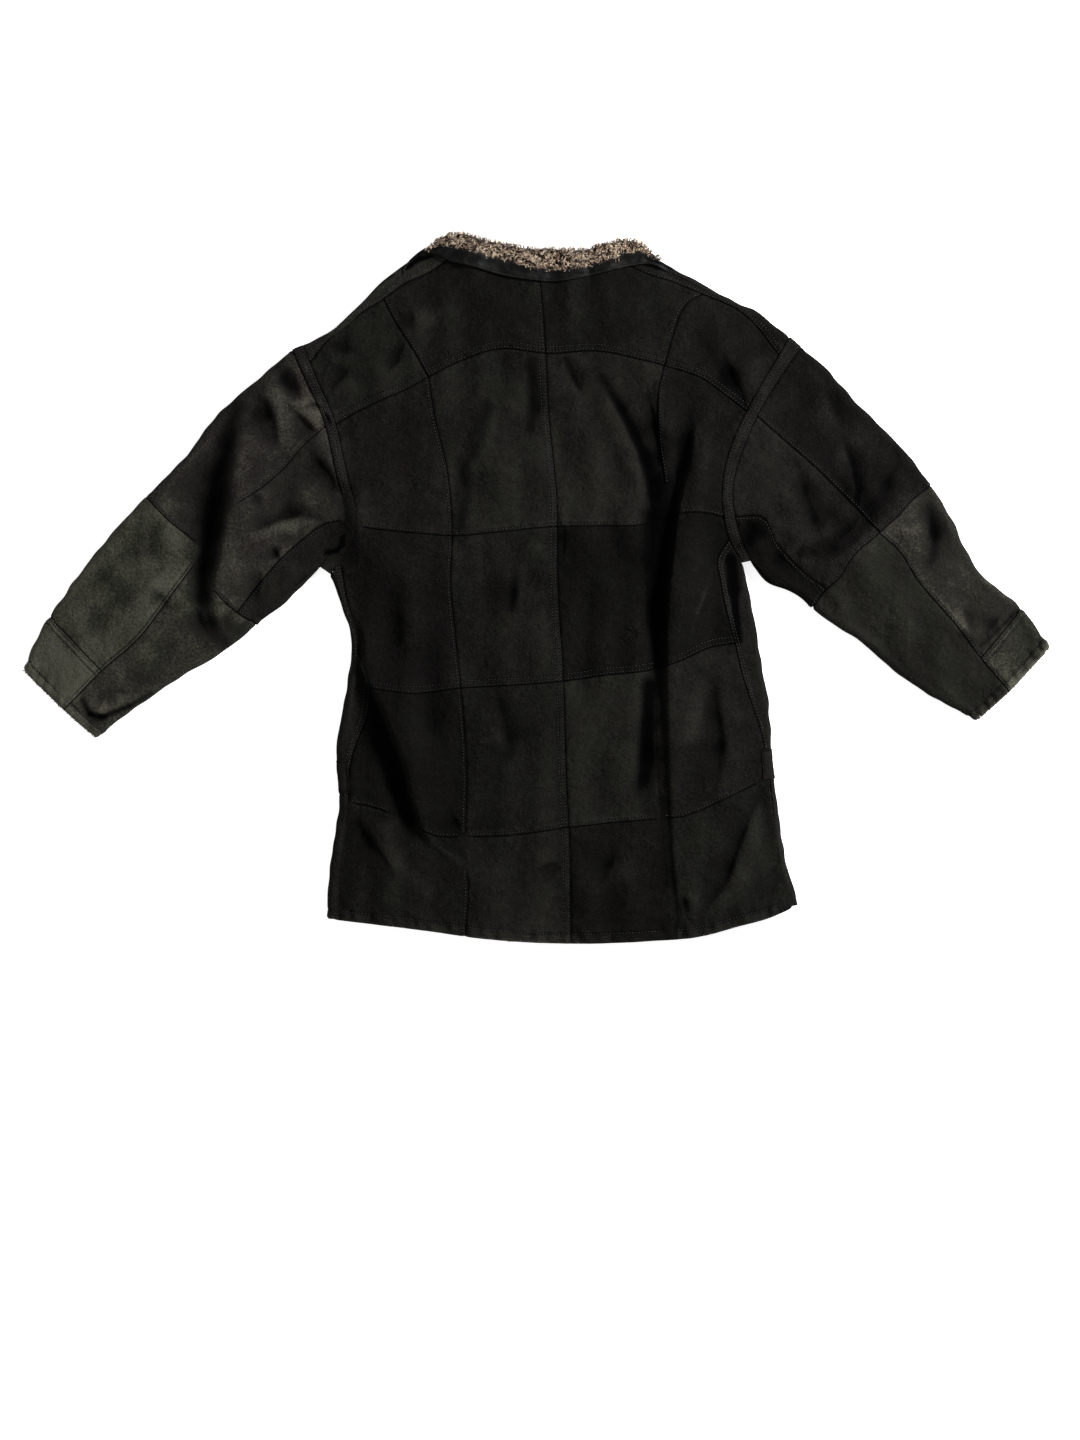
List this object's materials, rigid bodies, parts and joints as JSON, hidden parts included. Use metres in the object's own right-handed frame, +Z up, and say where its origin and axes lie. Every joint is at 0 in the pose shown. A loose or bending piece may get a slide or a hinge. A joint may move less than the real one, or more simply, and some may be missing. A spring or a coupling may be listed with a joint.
{
  "type": "sheepskin coat",
  "caption": "Sheepskin coat in dark nubuck patchwork, laid flat on its fronts with its back up, sleeves spread, fur collar turned down.",
  "frame": {"origin": "middle of the laid coat's box, on the surface it lies on", "axes": "+X across the coat from its left sleeve to its right sleeve as seen from above, +Y from hem to collar, +Z up out of the back"},
  "size_m": [1.3518, 0.9345, 0.0482],
  "materials": {
    "nubuck": "short-napped, matt, worn lighter on edges and cuffs",
    "smooth_leather": "smooth, satin",
    "collar_fur": "curly wool, dark brown roots and frosted beige tips",
    "button_horn": "horn-like, satin"
  },
  "bodies": {
    "root": {"back_outer_left_chest": "nubuck", "back_outer_left_waist": "nubuck", "back_outer_left_hip": "nubuck", "back_outer_left_hem": "nubuck", "back_inner_left_chest": "nubuck", "back_inner_left_waist": "nubuck", "back_inner_left_hip": "nubuck", "back_inner_left_hem": "nubuck", "back_inner_right_chest": "nubuck", "back_inner_right_waist": "nubuck", "back_inner_right_hip": "nubuck", "back_inner_right_hem": "nubuck", "back_outer_right_chest": "nubuck", "back_outer_right_waist": "nubuck", "back_outer_right_hip": "nubuck", "back_outer_right_hem": "nubuck", "yoke_centre_left": "nubuck", "yoke_outer_left": "nubuck", "shoulder_band_left": "nubuck", "front_left": "nubuck", "front_chest_left": "nubuck", "top_sleeve_left": "nubuck", "forearm_left": "nubuck", "back_sleeve_left": "nubuck", "under_sleeve_left": "nubuck", "under_forearm_left": "nubuck", "cuff_left": "nubuck", "armhole_strap_left": "nubuck", "pocket_welt_left": "nubuck", "collar_leaf_left": "collar_fur", "yoke_centre_right": "nubuck", "yoke_outer_right": "nubuck", "shoulder_band_right": "nubuck", "front_right": "nubuck", "front_chest_right": "nubuck", "top_sleeve_right": "nubuck", "forearm_right": "nubuck", "back_sleeve_right": "nubuck", "under_sleeve_right": "nubuck", "under_forearm_right": "nubuck", "cuff_right": "nubuck", "armhole_strap_right": "nubuck", "pocket_welt_right": "nubuck", "collar_leaf_right": "collar_fur", "collar_fur": "collar_fur", "collar_edging": "smooth_leather", "button_1": "button_horn", "button_2": "button_horn", "button_3": "button_horn", "button_4": "button_horn"}
  },
  "joints": []
}
